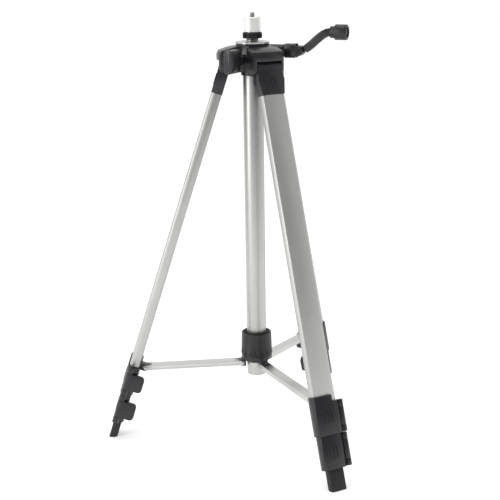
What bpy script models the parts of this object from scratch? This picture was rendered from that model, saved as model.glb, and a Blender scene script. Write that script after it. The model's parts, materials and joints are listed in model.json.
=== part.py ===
"""Laser-level tripod: geared column, folding crank, spreader and three-section legs.

Sizes are in millimetres and MM turns them into metres. The column stands on the design's z axis
and the feet stand on z = 0. Azimuths and angles are in degrees.
"""

import math

import bmesh
import bpy
from mathutils import Matrix, Vector

MM = 0.001
ROUND_SIDES = 24
SMALL_SIDES = 8
FIT = 0.3                      # gap between pieces that touch or slide
JOIN = 1.0                     # how far joined shapes reach into each other
WELD_DISTANCE = 0.004
FAR = 300.0                    # longer than any piece that a cutter passes through

# Stance
LEG_AZIMUTHS = (180.0, 300.0, 60.0)
LEG_SPREAD = 18.0              # from the vertical
HINGE_RADIUS = 34.0
HINGE_HEIGHT = 487.0
HINGE_PIN_RADIUS = 2.0
RIVET_HEAD_RADIUS = 3.6
RIVET_HEAD_HEIGHT = 0.9

# Column
COLUMN_RADIUS = 12.5
COLUMN_WALL = 1.0
COLUMN_BOTTOM = 86.0
COLUMN_TOP = 492.0
COLUMN_COLLAR_RADIUS = 14.7
COLUMN_COLLAR_HEIGHT = 5.2

# Head
HEAD_BOTTOM = 480.5
HEAD_RADIUS = 44.5
LOBE_HALF_WIDTH = 21.0
LOBE_RIM_TOP = 502.0
LOBE_SHOULDER = (42.4, 506.0)  # radius and height where the rim turns into the dome
DOME_TOP = 511.5
DOME_BULGE_AT = 0.75           # share of the shoulder's radius where the dome bulges
BARREL_RADIUS = 19.0
CLEVIS_HALF_WIDTH = 17.2
CLEVIS_DEPTH_RADIUS = 25.0
CLEVIS_ROOF = 495.0
NOTCH_RADIUS = 12.0
NOTCH_CENTRE = 31.5
NOTCH_FLOOR = 499.5
TURRET_FOOT_RADIUS = 17.0
TURRET_FOOT = 502.0
TURRET_RADIUS = 20.5
TURRET_TOP = 513.2

# Elevating column, its rack and what it carries
ELEVATOR_RADIUS = 10.0
ELEVATOR_WALL = 1.5
ELEVATOR_BOTTOM = 110.0
ELEVATOR_TRAVEL = 250.0
PLATFORM_RADIUS = 21.0
PLATFORM_THICKNESS = 2.2
POST_RADIUS = 7.94             # 5/8 in
POST_LENGTH = 27.0
LOCK_RING_RADIUS = 11.8
LOCK_RING_BASE = 4.0           # above the platform
LOCK_RING_HEIGHT = 7.0
ADAPTER_RADIUS = 10.5
ADAPTER_HEIGHT = 18.2
ADAPTER_CAP = 2.0
STUD_RADIUS = 3.175            # 1/4 in
STUD_LENGTH = 5.2
STUD_SEAT = 1.4

# Rack and pinion
GEAR_MODULE = 0.8
PINION_TEETH = 10
PINION_WIDTH = 6.0
RACK_WIDTH = 5.0
RACK_AZIMUTH = 70.0
RACK_PITCH_RADIUS = 10.3
RACK_BACK_RADIUS = 6.2
RACK_TOOTH_DEPTH = 1.25        # below the pitch line, in modules
PINION_TIP = 0.7               # above the pitch circle, in modules
PINION_ROOT = 1.1              # below the pitch circle, in modules
PINION_FOOT_TURN = 0.28        # half a tooth's foot, in teeth
PINION_CREST_TURN = 0.07       # half a tooth's crest, in teeth
SHAFT_HEIGHT = 504.0

# Crank
SHAFT_RADIUS = 2.5
HOUSING_RADIUS = 7.5
HOUSING_END = 36.0             # along the shaft from the pinion
CRANK_HUB_START = 38.0
CRANK_HUB_END = 52.0
CRANK_HUB_WIDTH = 14.0
CRANK_HUB_HEIGHT = 17.0
KNUCKLE_OFFSET = 55.8
KNUCKLE_RADIUS = 6.0
CRANK_PIN_RADIUS = 1.5
ARM_THICKNESS = 7.0
ARM_HEIGHT = 9.7
ARM_REACH = 39.0
ARM_RISE = 23.0
CRANK_KNOB_NECK_RADIUS = 7.15
CRANK_KNOB_RADIUS = 9.35
CRANK_KNOB_NECK = 6.0
CRANK_KNOB_LENGTH = 21.0
CRANK_KNOB_RECESS = 3.0
CRANK_KNOB_RECESS_RADIUS = 6.0
CRANK_SCREW_RADIUS = 2.0
CRANK_SCREW_HEAD_RADIUS = 3.6
CRANK_SCREW_HEAD = 1.5
CRANK_SCREW_GRIP = 8.0

# Column lock knob
LOCK_KNOB_AZIMUTH = 240.0
LOCK_KNOB_HEIGHT = 495.5
LOCK_BOSS_RADIUS = 6.0
LOCK_BOSS_END = 33.0
LOCK_HUB_LENGTH = 5.0
LOCK_PADDLE_WIDTH = 11.5
LOCK_PADDLE_HEIGHT = 28.0
LOCK_PADDLE_LENGTH = 20.0
LOCK_SCREW_RADIUS = 2.5
LOCK_SCREW_TIP = 10.8

# Spreader
HUB_PIVOT_RADIUS = 19.5
HUB_PIVOT_HEIGHT = 101.0
HUB_BOTTOM = 104.0
HUB_TOP = 113.5
HUB_SLEEVE_RADIUS = 15.2
HUB_RING_RADIUS = 19.8
HUB_RING_HEIGHT = 5.5
HUB_SLIDE = 0.4                # gap of the sliding sleeves to the column
COLLAR_BOTTOM_RADIUS = 20.3
COLLAR_TOP_RADIUS = 19.2
COLLAR_HEIGHT = 29.0
COLLAR_MOUTH_RADIUS = 17.5
COLLAR_MOUTH_DEPTH = 7.0
EAR_RADIUS = 4.4
STRUT_WIDTH = 13.0
STRUT_HEIGHT = 6.3
STRUT_WALL = 1.0
STRUT_WEB_SETBACK = 9.0
STRUT_PIN_RADIUS = 1.5
STRUT_HEAD_RADIUS = 2.6

# Legs, measured from the hinge down along each leg; x is outward and y is along the hinge
FOOT_PIVOT_ALONG = 407.7       # where the strut meets the leg
FOOT_PIVOT_INSET = 13.7
YOKE_EYE_RADIUS = 7.5
YOKE_HALF_WIDTH = 16.5
YOKE_THICKNESS = 14.0
YOKE_FLARE_HALF_WIDTH = 18.0
YOKE_FLARE_ALONG = 16.0
YOKE_END_HALF_WIDTH = 15.0
YOKE_LENGTH = 34.0
YOKE_PLUG = 22.0
YOKE_SLOT_ANGLE = 40.0         # from straight up, towards the column
YOKE_SLOT_FLARE = 25.0
YOKE_SLOT_RELIEF = 0.05        # keeps the slot a little wider than the pin hole
UPPER_SIZE = (13.5, 31.5)
UPPER_CORNER = 5.0
UPPER_WALL = 1.2
UPPER_END = 417.0
MIDDLE_SIZE = (10.3, 28.3)
MIDDLE_CORNER = 3.4
MIDDLE_WALL = 1.0
MIDDLE_START = 70.0
MIDDLE_END = 468.0
LOWER_SIZE = (7.5, 25.5)
LOWER_CORNER = 2.2
LOWER_WALL = 0.9
LOWER_START = 90.0
SECTION_TRAVEL = 310.0
LOCK_CORNER = 5.0
LIP_DIP = 9.0                  # how far in from each side the upper lock's lip is lowered
UPPER_LOCK_SIZE = (17.0, 34.5)
UPPER_LOCK_START = 407.0
UPPER_LOCK_LENGTH = 39.0
UPPER_LOCK_LIP = 8.0
LOWER_LOCK_SIZE = (14.6, 31.6)
LOWER_LOCK_START = 446.6
LOWER_LOCK_LENGTH = 40.4
LOWER_LOCK_LIP = 0.0
KNUCKLE_LENGTH = 8.0
LEVER_BARREL_RADIUS = 4.5
LEVER_AXIS_X = 3.0
LEVER_AXIS_OUT = 3.25          # beyond the side of the lock
LEVER_GAP = 0.4
LEVER_TRUNNION_RADIUS = 1.4
LEVER_TRUNNION_LENGTH = 4.0
LEVER_WING_REACH = 21.0
LEVER_WING_THICKNESS = 5.0
FOOT_SIZE = (10.5, 22.5)
FOOT_CORNER = 3.5
FOOT_PLUG = 14.0

# Positions that follow from the sizes above
TILT = math.radians(LEG_SPREAD)
OUTWARD = Vector((math.cos(TILT), math.sin(TILT)))
DOWNWARD = Vector((math.sin(TILT), -math.cos(TILT)))
HINGE = Vector((HINGE_RADIUS, HINGE_HEIGHT))
HUB_PIVOT = Vector((HUB_PIVOT_RADIUS, HUB_PIVOT_HEIGHT))
FOOT_PIVOT = HINGE + DOWNWARD * FOOT_PIVOT_ALONG - OUTWARD * FOOT_PIVOT_INSET
STRUT = FOOT_PIVOT - HUB_PIVOT
PLATFORM_BASE = TURRET_TOP + FIT
PLATFORM_TOP = PLATFORM_BASE + PLATFORM_THICKNESS
PINION_RADIUS = GEAR_MODULE * PINION_TEETH / 2
SHAFT_OFFSET = RACK_PITCH_RADIUS + PINION_RADIUS
EAR_HALF_WIDTH = STRUT_WIDTH / 2 - STRUT_WALL - FIT
SHAFT_AZIMUTH = RACK_AZIMUTH - 90.0
LOWER_END = LOWER_LOCK_START + LOWER_LOCK_LENGTH
FLOOR_ALONG = HINGE_HEIGHT / math.cos(TILT)

# Turned placements: SIDEWAYS stands an outline up in the x-z plane and extrudes it along y;
# ARM_PLANE lays it in the plane of z and y, extruded along x.
HERE = Matrix.Identity(4)
SIDEWAYS = Matrix.Rotation(math.radians(90), 4, "X")
ARM_PLANE = Matrix(((0, 0, -1, 0), (0, 1, 0, 0), (1, 0, 0, 0), (0, 0, 0, 1)))


# ---------------------------------------------------------------- shapes

def solid(points, faces, place=HERE):
    """Make an object from points in millimetres, moved by a placement in millimetres."""
    mesh = bpy.data.meshes.new("shape")
    mesh.from_pydata([(place @ Vector(point)) * MM for point in points], [], faces)
    build = bmesh.new()
    build.from_mesh(mesh)
    bmesh.ops.recalc_face_normals(build, faces=build.faces)
    build.to_mesh(mesh)
    build.free()
    shape = bpy.data.objects.new("shape", mesh)
    bpy.context.collection.objects.link(shape)
    return shape


def prism(outline, low, high, place=HERE):
    """Extrude an outline between two heights of the placement's z axis."""
    count = len(outline)
    points = [(x, y, low) for x, y in outline] + [(x, y, high) for x, y in outline]
    faces = [(i, (i + 1) % count, (i + 1) % count + count, i + count) for i in range(count)]
    faces += [tuple(range(count)), tuple(range(count, 2 * count))]
    return solid(points, faces, place)


def block(x_range, y_range, z_range, place=HERE):
    """Make a box from its three ranges."""
    outline = [(x_range[0], y_range[0]), (x_range[1], y_range[0])]
    outline += [(x_range[1], y_range[1]), (x_range[0], y_range[1])]
    return prism(outline, z_range[0], z_range[1], place)


def lathe(profile, place=HERE, sides=ROUND_SIDES):
    """Turn a profile of (radius, height) points about the placement's z axis."""
    rings, points, faces = [], [], []
    for radius, height in profile:
        start = len(points)
        if radius == 0:
            rings.append([start] * sides)
            points.append((0, 0, height))
            continue
        rings.append(list(range(start, start + sides)))
        for i in range(sides):
            turn = 2 * math.pi * i / sides
            points.append((radius * math.cos(turn), radius * math.sin(turn), height))
    for lower, upper in zip(rings, rings[1:] + rings[:1]):
        for i in range(sides):
            j = (i + 1) % sides
            face = tuple(dict.fromkeys((lower[i], lower[j], upper[j], upper[i])))
            if len(face) > 2:
                faces.append(face)
    return solid(points, faces, place)


def rod(radius, low, high, place=HERE, sides=ROUND_SIDES):
    """Make a plain cylinder along the placement's z axis."""
    return lathe([(0, low), (radius, low), (radius, high), (0, high)], place, sides)


def pipe(outer, inner, low, high, sides=ROUND_SIDES):
    """Make a round tube along z."""
    return lathe([(inner, low), (outer, low), (outer, high), (inner, high)], HERE, sides)


def rounded_rectangle(size, corner, steps=2):
    """Give the outline of a rectangle with round corners, centred on the origin."""
    outline = []
    for quarter, (sx, sy) in enumerate(((1, 1), (-1, 1), (-1, -1), (1, -1))):
        for i in range(steps + 1):
            turn = math.pi / 2 * (quarter + i / steps)
            x = sx * (size[0] / 2 - corner) + corner * math.cos(turn)
            outline.append((x, sy * (size[1] / 2 - corner) + corner * math.sin(turn)))
    return outline


def section(size, corner, grow=0.0):
    """Give a leg section's outline, offset outwards by grow."""
    grown = (size[0] + 2 * grow, size[1] + 2 * grow)
    return rounded_rectangle(grown, max(corner + grow, FIT))


def section_tube(size, corner, wall, low, high):
    """Make a flat leg tube, open at both ends."""
    outer = section(size, corner)
    inner = section(size, corner, -wall)
    count = len(outer)
    points = []
    for outline, height in ((outer, low), (outer, high), (inner, high), (inner, low)):
        points += [(x, y, height) for x, y in outline]
    faces = []
    for ring in range(4):
        upper = (ring + 1) % 4 * count
        for i in range(count):
            j = (i + 1) % count
            faces.append((ring * count + i, ring * count + j, upper + j, upper + i))
    return solid(points, faces)


def arc(centre, radius, start, end, steps=6):
    """Give points along an arc between two angles."""
    points = []
    for i in range(steps + 1):
        turn = math.radians(start + (end - start) * i / steps)
        points.append((centre[0] + radius * math.cos(turn), centre[1] + radius * math.sin(turn)))
    return points


def combine(shape, operation, *tools):
    """Join tools to a shape, or cut them out of it, and drop the tools."""
    for tool in tools:
        step = shape.modifiers.new("step", "BOOLEAN")
        step.operation = operation
        step.object = tool
        depsgraph = bpy.context.evaluated_depsgraph_get()
        shape.data = bpy.data.meshes.new_from_object(shape.evaluated_get(depsgraph))
        shape.modifiers.clear()
        bpy.data.objects.remove(tool)
        weld(shape.data)
    return shape


def weld(mesh):
    """Merge the points that a boolean step leaves on top of each other."""
    build = bmesh.new()
    build.from_mesh(mesh)
    bmesh.ops.remove_doubles(build, verts=build.verts, dist=WELD_DISTANCE * MM)
    bmesh.ops.dissolve_degenerate(build, edges=build.edges, dist=WELD_DISTANCE * MM)
    build.to_mesh(mesh)
    build.free()


def join(shape, *tools):
    """Unite shapes that reach into each other."""
    return combine(shape, "UNION", *tools)


def cut(shape, *tools):
    """Cut tools out of a shape."""
    return combine(shape, "DIFFERENCE", *tools)


# ---------------------------------------------------------------- placing

def shift(x, y, z):
    """Give a placement that only moves."""
    return Matrix.Translation((x, y, z))


def facing(azimuth):
    """Give a placement whose z axis points level along an azimuth, with y straight up."""
    level = Matrix(((0, 0, 1, 0), (1, 0, 0, 0), (0, 1, 0, 0), (0, 0, 0, 1)))
    return Matrix.Rotation(math.radians(azimuth), 4, "Z") @ level


def polar(radius, azimuth, height):
    """Give a placement that moves to a point in cylindrical coordinates, unturned."""
    turn = math.radians(azimuth)
    return shift(radius * math.cos(turn), radius * math.sin(turn), height)


def to_metres(placement):
    """Copy a placement with its movement in metres."""
    result = placement.copy()
    result.translation *= MM
    return result


def guide(name, parent, placement):
    """Add an empty that carries pieces on one axis."""
    empty = bpy.data.objects.new(name, None)
    bpy.context.collection.objects.link(empty)
    empty.parent = parent
    empty.matrix_local = to_metres(placement)
    return empty


def finish(shape, name, look, parent, placement=HERE):
    """Name, shade, colour and place a finished piece."""
    shape.name = name
    shape.data.name = name
    shape.data.materials.clear()
    shape.data.materials.append(look(name))
    shape.data.shade_smooth()
    shape.data.set_sharp_from_angle(angle=math.radians(35))
    shape.parent = parent
    shape.matrix_local = to_metres(placement)
    return shape


def copy_of(shape, name, parent, placement):
    """Place another object that shares a finished piece's mesh."""
    twin = bpy.data.objects.new(name, shape.data)
    bpy.context.collection.objects.link(twin)
    twin.parent = parent
    twin.matrix_local = to_metres(placement)
    return twin


# ---------------------------------------------------------------- materials

def finish_material(name, colour, roughness, metallic):
    """Make one piece's own Principled material."""
    made = bpy.data.materials.new(name)
    made.use_nodes = True
    shader = made.node_tree.nodes["Principled BSDF"]
    shader.inputs["Base Color"].default_value = (*colour, 1.0)
    shader.inputs["Roughness"].default_value = roughness
    shader.inputs["Metallic"].default_value = metallic
    return made


def black_plastic(name):
    """Moulded nylon with a slight sheen."""
    return finish_material(name, (0.035, 0.035, 0.038), 0.42, 0.0)


def black_rubber(name):
    """Matt rubber."""
    return finish_material(name, (0.02, 0.02, 0.02), 0.8, 0.0)


def anodised(name):
    """Satin anodised aluminium."""
    return finish_material(name, (0.62, 0.63, 0.62), 0.35, 1.0)


def bright_steel(name):
    """Bright zinc-plated steel."""
    return finish_material(name, (0.7, 0.7, 0.69), 0.25, 1.0)


def pale_alloy(name):
    """Near-white satin alloy."""
    return finish_material(name, (0.86, 0.86, 0.84), 0.3, 1.0)


# ---------------------------------------------------------------- head and column

def head_plan():
    """Give the plan of the head: three wide arms that meet in notches."""
    outline = []
    notch = LOBE_HALF_WIDTH / math.sin(math.radians(60))
    for azimuth in sorted(LEG_AZIMUTHS):
        turned = Matrix.Rotation(math.radians(azimuth), 2)
        for corner in ((HEAD_RADIUS * 1.2, -LOBE_HALF_WIDTH), (HEAD_RADIUS * 1.2, LOBE_HALF_WIDTH)):
            outline.append(tuple(turned @ Vector(corner)))
        outline.append(tuple(Matrix.Rotation(math.radians(azimuth + 60), 2) @ Vector((notch, 0))))
    return outline


def head_dome():
    """Turn the domed disc that the arms are cut from."""
    edge = 1.5
    profile = [(0, HEAD_BOTTOM), (HEAD_RADIUS - edge, HEAD_BOTTOM)]
    profile += [(HEAD_RADIUS, HEAD_BOTTOM + edge), (HEAD_RADIUS, LOBE_RIM_TOP), LOBE_SHOULDER]
    profile += [(LOBE_SHOULDER[0] * DOME_BULGE_AT, (LOBE_SHOULDER[1] + DOME_TOP) / 2 + edge / 2)]
    profile += [(TURRET_RADIUS, DOME_TOP), (0, DOME_TOP)]
    return lathe(profile, sides=36)


def shaft_frame():
    """Give the crank shaft's placement: z along the shaft, y up, origin at the pinion."""
    return polar(SHAFT_OFFSET, RACK_AZIMUTH, SHAFT_HEIGHT) @ facing(SHAFT_AZIMUTH)


def add_head(root):
    """Make the moulded head with its clevises, turret, gear housing and lock boss."""
    head = combine(head_dome(), "INTERSECT", prism(head_plan(), HEAD_BOTTOM - JOIN, TURRET_TOP))
    for azimuth in LEG_AZIMUTHS:
        turned = Matrix.Rotation(math.radians(azimuth), 4, "Z")
        notch = polar(NOTCH_CENTRE, azimuth + 60, 0)
        cut(head, rod(NOTCH_RADIUS, NOTCH_FLOOR, TURRET_TOP, notch))
        gap = (-CLEVIS_HALF_WIDTH, CLEVIS_HALF_WIDTH)
        cut(head, block((CLEVIS_DEPTH_RADIUS, FAR), gap, (HEAD_BOTTOM - JOIN, CLEVIS_ROOF), turned))
        pin = turned @ shift(HINGE_RADIUS, 0, HINGE_HEIGHT) @ SIDEWAYS
        cut(head, rod(HINGE_PIN_RADIUS + FIT, -FAR, FAR, pin, SMALL_SIDES))
    turret = [(0, TURRET_FOOT), (TURRET_FOOT_RADIUS, TURRET_FOOT)]
    turret += [(TURRET_RADIUS, TURRET_TOP - JOIN), (TURRET_RADIUS, TURRET_TOP), (0, TURRET_TOP)]
    pinion_half = PINION_WIDTH / 2
    housing_start = -pinion_half - 4 * JOIN
    shaft = shaft_frame()
    lock = shift(0, 0, LOCK_KNOB_HEIGHT) @ facing(LOCK_KNOB_AZIMUTH)
    join(head, lathe(turret), rod(HOUSING_RADIUS, housing_start, HOUSING_END, shaft))
    join(head, rod(LOCK_BOSS_RADIUS, ELEVATOR_RADIUS + JOIN, LOCK_BOSS_END, lock))
    tooth_gap = RACK_PITCH_RADIUS + GEAR_MODULE + FIT
    slot = (-RACK_WIDTH / 2 - FIT, RACK_WIDTH / 2 + FIT)
    rack_way = Matrix.Rotation(math.radians(RACK_AZIMUTH), 4, "Z")
    cut(head, rod(COLUMN_RADIUS + FIT, HEAD_BOTTOM - JOIN, COLUMN_TOP + FIT))
    cut(head, rod(ELEVATOR_RADIUS + FIT, COLUMN_TOP, TURRET_TOP + JOIN))
    cut(head, block((0, tooth_gap), slot, (COLUMN_TOP, TURRET_TOP + JOIN), rack_way))
    cavity = PINION_RADIUS + GEAR_MODULE + FIT
    cut(head, rod(cavity, -pinion_half - FIT, pinion_half + FIT, shaft))
    cut(head, rod(SHAFT_RADIUS + FIT, -pinion_half - 2 * JOIN, FAR, shaft, SMALL_SIDES))
    cut(head, rod(LOCK_SCREW_RADIUS + FIT, 0, FAR, lock, SMALL_SIDES))
    return finish(head, "head_body", black_plastic, root)


def rivet(radius, head_radius, inner_span):
    """Make a rivet along z whose heads lie just outside a span."""
    under = inner_span / 2 + FIT
    over = under + RIVET_HEAD_HEIGHT
    profile = [(0, -over), (head_radius, -over), (head_radius, -under), (radius, -under)]
    profile += [(radius, under), (head_radius, under), (head_radius, over), (0, over)]
    return lathe(profile, SIDEWAYS, SMALL_SIDES)


def add_column(root):
    """Make the fixed tube and the ring under the head."""
    tube = pipe(COLUMN_RADIUS, COLUMN_RADIUS - COLUMN_WALL, COLUMN_BOTTOM, COLUMN_TOP)
    finish(tube, "column_tube", anodised, root)
    top = HEAD_BOTTOM - FIT
    ring = pipe(COLUMN_COLLAR_RADIUS, COLUMN_RADIUS + FIT, top - COLUMN_COLLAR_HEIGHT, top)
    finish(ring, "column_collar", black_plastic, root)


# ---------------------------------------------------------------- elevating column

def rack_outline(bottom, top):
    """Give the rack's outline: pointed teeth towards +x, heights along y."""
    pitch = math.pi * GEAR_MODULE
    root = RACK_PITCH_RADIUS - RACK_TOOTH_DEPTH * GEAR_MODULE
    tip = RACK_PITCH_RADIUS + GEAR_MODULE
    flank = pitch / 4
    outline = [(root, top), (RACK_BACK_RADIUS, top), (RACK_BACK_RADIUS, bottom), (root, bottom)]
    first = SHAFT_HEIGHT - pitch * (math.floor((SHAFT_HEIGHT - bottom) / pitch - 1) + 0.5)
    count = math.floor((top - first) / pitch)
    for tooth in range(count):
        middle = first + pitch * (tooth + 0.5)
        outline += [(root, middle - 2 * flank), (tip, middle)]
    outline.append((root, first + pitch * count))
    return outline


def add_elevator(slider):
    """Make the slotted elevating tube, its rack and the platform on top."""
    slot_bottom = SHAFT_HEIGHT - ELEVATOR_TRAVEL - 2 * PINION_RADIUS
    half_width = RACK_WIDTH / 2 + FIT
    top = PLATFORM_BASE - FIT
    tube = pipe(ELEVATOR_RADIUS, ELEVATOR_RADIUS - ELEVATOR_WALL, ELEVATOR_BOTTOM, top)
    turned = Matrix.Rotation(math.radians(RACK_AZIMUTH), 4, "Z")
    reach = (RACK_BACK_RADIUS, RACK_PITCH_RADIUS + JOIN)
    cut(tube, block(reach, (-half_width, half_width), (slot_bottom, top + JOIN), turned))
    finish(tube, "elevating_tube", anodised, slider)
    outline = rack_outline(slot_bottom + FIT, top - FIT)
    rack = prism(outline, -RACK_WIDTH / 2, RACK_WIDTH / 2, turned @ SIDEWAYS)
    finish(rack, "gear_rack", bright_steel, slider)
    disc = lathe([(0, PLATFORM_BASE), (PLATFORM_RADIUS, PLATFORM_BASE),
                  (PLATFORM_RADIUS, PLATFORM_TOP), (0, PLATFORM_TOP)], sides=36)
    finish(disc, "platform_disc", bright_steel, slider)


def add_laser_mount(slider):
    """Make the threaded post, its lock ring, the adapter and the adapter's stud."""
    post_bottom = PLATFORM_TOP + FIT
    post_top = post_bottom + POST_LENGTH
    edge = 1.0
    post = lathe([(0, post_bottom), (POST_RADIUS, post_bottom), (POST_RADIUS, post_top - edge),
                  (POST_RADIUS - edge, post_top), (0, post_top)])
    finish(post, "threaded_post", bright_steel, slider)
    ring_bottom = PLATFORM_TOP + LOCK_RING_BASE
    ring_top = ring_bottom + LOCK_RING_HEIGHT
    ring_axis = guide("lock_ring_axis", slider, HERE)
    ring = pipe(LOCK_RING_RADIUS, POST_RADIUS + FIT, ring_bottom, ring_top)
    finish(ring, "lock_ring", black_plastic, ring_axis)
    bottom = ring_top + FIT
    top = bottom + ADAPTER_HEIGHT
    bore = POST_RADIUS + FIT
    hole = STUD_RADIUS + FIT
    seat = top - STUD_SEAT
    adapter = lathe([(bore, bottom), (ADAPTER_RADIUS, bottom), (ADAPTER_RADIUS, top - edge / 2),
                     (ADAPTER_RADIUS - edge / 2, top), (hole, top), (hole, seat), (0, seat),
                     (0, top - ADAPTER_CAP), (bore, top - ADAPTER_CAP)])
    finish(adapter, "laser_adapter", pale_alloy, slider)
    stud_top = top + STUD_LENGTH
    stud = lathe([(0, seat + FIT), (STUD_RADIUS, seat + FIT), (STUD_RADIUS, stud_top - edge / 2),
                  (STUD_RADIUS - edge / 2, stud_top), (0, stud_top)], sides=24)
    finish(stud, "adapter_stud", bright_steel, slider)


# ---------------------------------------------------------------- crank

def pinion():
    """Make the pinion's toothed disc, centred on the shaft frame's origin."""
    outline = []
    tip = PINION_RADIUS + PINION_TIP * GEAR_MODULE
    root = PINION_RADIUS - PINION_ROOT * GEAR_MODULE
    step = 360.0 / PINION_TEETH
    corners = [(root, -PINION_FOOT_TURN), (tip, -PINION_CREST_TURN)]
    corners += [(tip, PINION_CREST_TURN), (root, PINION_FOOT_TURN)]
    for tooth in range(PINION_TEETH):
        middle = step * (tooth + 0.5)
        for radius, turn in corners:
            angle = math.radians(middle + step * turn)
            outline.append((radius * math.cos(angle), radius * math.sin(angle)))
    return prism(outline, -PINION_WIDTH / 2, PINION_WIDTH / 2)


def add_shaft(spindle):
    """Make the crank shaft with its pinion, and the hub block with its two knuckle ears."""
    inner = -PINION_WIDTH / 2 - 1.5 * JOIN
    grip = (CRANK_HUB_START + CRANK_HUB_END) / 2
    shaft = join(pinion(), rod(SHAFT_RADIUS, inner, grip, sides=SMALL_SIDES))
    finish(shaft, "crank_shaft", bright_steel, spindle)
    size = (CRANK_HUB_WIDTH, CRANK_HUB_HEIGHT)
    hub = prism(rounded_rectangle(size, 3.0), CRANK_HUB_START, CRANK_HUB_END)
    half = CRANK_HUB_WIDTH / 2
    start = CRANK_HUB_END - JOIN
    ear = [(start, -KNUCKLE_RADIUS)] + arc((KNUCKLE_OFFSET, 0), KNUCKLE_RADIUS, -90, 90, 8)
    ear.append((start, KNUCKLE_RADIUS))
    join(hub, prism(ear, -half + FIT, half - FIT, ARM_PLANE))
    slot = ARM_THICKNESS / 2 + FIT
    slot_start = KNUCKLE_OFFSET - KNUCKLE_RADIUS - 2 * FIT
    cut(hub, block((-slot, slot), (-FAR, FAR), (slot_start, FAR)))
    bore = SHAFT_RADIUS + FIT
    cut(hub, rod(bore, CRANK_HUB_START - JOIN, grip + FIT, sides=SMALL_SIDES))
    knuckle = shift(0, 0, KNUCKLE_OFFSET) @ ARM_PLANE
    cut(hub, rod(CRANK_PIN_RADIUS + FIT, -FAR, FAR, knuckle, SMALL_SIDES))
    finish(hub, "crank_hub", black_plastic, spindle)
    pin_end = half - 1.5 * FIT
    pin = rod(CRANK_PIN_RADIUS, -pin_end, pin_end, knuckle, SMALL_SIDES)
    finish(pin, "crank_pin", bright_steel, spindle)


def arm_outline():
    """Give the S-shaped side of the folding arm: x along the shaft, y up, knuckle at the origin."""
    steps = 10
    half = ARM_HEIGHT / 2
    upper, lower = [], []
    for i in range(steps + 1):
        part = i / steps
        rise = ARM_RISE * part * part * (3 - 2 * part)
        slope = ARM_RISE * 6 * part * (1 - part) / ARM_REACH
        length = math.hypot(1, slope)
        offset = Vector((-slope, 1)) * (half / length)
        middle = Vector((ARM_REACH * part, rise))
        upper.append(middle + offset)
        lower.append(middle - offset)
    ends = lower[2:] + list(reversed(upper[2:]))
    return [tuple(point) for point in ends]


def add_crank_arm(fold):
    """Make the folding arm and the axle of its knob."""
    arm = prism(arm_outline(), -ARM_THICKNESS / 2, ARM_THICKNESS / 2, ARM_PLANE)
    eye = rod(KNUCKLE_RADIUS, -ARM_THICKNESS / 2, ARM_THICKNESS / 2, ARM_PLANE)
    link = [(0, -ARM_HEIGHT / 2), (ARM_REACH * 0.25, 0), (ARM_REACH * 0.25, ARM_HEIGHT * 0.7)]
    link.append((0, ARM_HEIGHT / 2))
    join(arm, prism(link, -ARM_THICKNESS / 2, ARM_THICKNESS / 2, ARM_PLANE), eye)
    cut(arm, rod(CRANK_PIN_RADIUS + FIT, -FAR, FAR, ARM_PLANE, SMALL_SIDES))
    knob = shift(0, ARM_RISE, 0)
    grip = ARM_REACH - CRANK_SCREW_GRIP
    cut(arm, rod(CRANK_SCREW_RADIUS + FIT, grip - FIT, FAR, knob, SMALL_SIDES))
    finish(arm, "crank_arm", black_plastic, fold)
    end = ARM_REACH + FIT + CRANK_KNOB_LENGTH - CRANK_KNOB_RECESS + FIT
    profile = [(0, grip), (CRANK_SCREW_RADIUS, grip), (CRANK_SCREW_RADIUS, end)]
    profile += [(CRANK_SCREW_HEAD_RADIUS, end), (CRANK_SCREW_HEAD_RADIUS, end + CRANK_SCREW_HEAD)]
    screw = lathe(profile + [(0, end + CRANK_SCREW_HEAD)], knob, SMALL_SIDES)
    finish(screw, "crank_knob_screw", bright_steel, fold)


def add_crank_knob(axle):
    """Make the spinning knob: a neck, a wider grip and a recess for the screw's head."""
    start = ARM_REACH + FIT
    end = start + CRANK_KNOB_LENGTH
    neck = start + CRANK_KNOB_NECK
    edge = 1.2
    bore = CRANK_SCREW_RADIUS + FIT
    floor = end - CRANK_KNOB_RECESS
    profile = [(bore, start), (CRANK_KNOB_NECK_RADIUS, start), (CRANK_KNOB_NECK_RADIUS, neck)]
    profile += [(CRANK_KNOB_RADIUS, neck), (CRANK_KNOB_RADIUS, end - edge)]
    profile += [(CRANK_KNOB_RADIUS - edge, end), (CRANK_KNOB_RECESS_RADIUS, end)]
    profile += [(CRANK_KNOB_RECESS_RADIUS, floor), (bore, floor)]
    finish(lathe(profile), "crank_knob", black_plastic, axle)


def add_lock_knob(axle):
    """Make the column's lock knob: a screw, a round hub and an upright paddle."""
    hub_start = LOCK_BOSS_END + FIT
    hub_end = hub_start + LOCK_HUB_LENGTH
    screw = rod(LOCK_SCREW_RADIUS, LOCK_SCREW_TIP, hub_start + JOIN, sides=SMALL_SIDES)
    hub = rod(LOCK_BOSS_RADIUS, hub_start, hub_end + JOIN)
    size = (LOCK_PADDLE_WIDTH, LOCK_PADDLE_HEIGHT)
    paddle = prism(rounded_rectangle(size, 3.5), hub_end, hub_end + LOCK_PADDLE_LENGTH)
    finish(join(hub, screw, paddle), "column_lock_knob", black_plastic, axle)


# ---------------------------------------------------------------- spreader

def repeat(shape, name, look, parents, placement=HERE):
    """Finish a piece and place a copy of it on each parent."""
    finish(shape, f"{name}_1", look, parents[0], placement)
    for number, parent in enumerate(parents[1:], 2):
        copy_of(shape, f"{name}_{number}", parent, placement)


def ear(pivot, root_x):
    """Make a rounded ear that reaches inwards from root_x to a pivot."""
    outline = arc(pivot, EAR_RADIUS, 90, 270, 8)
    outline += [(root_x, pivot[1] - EAR_RADIUS), (root_x, pivot[1] + EAR_RADIUS)]
    return prism(outline, -EAR_HALF_WIDTH, EAR_HALF_WIDTH, SIDEWAYS)


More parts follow.
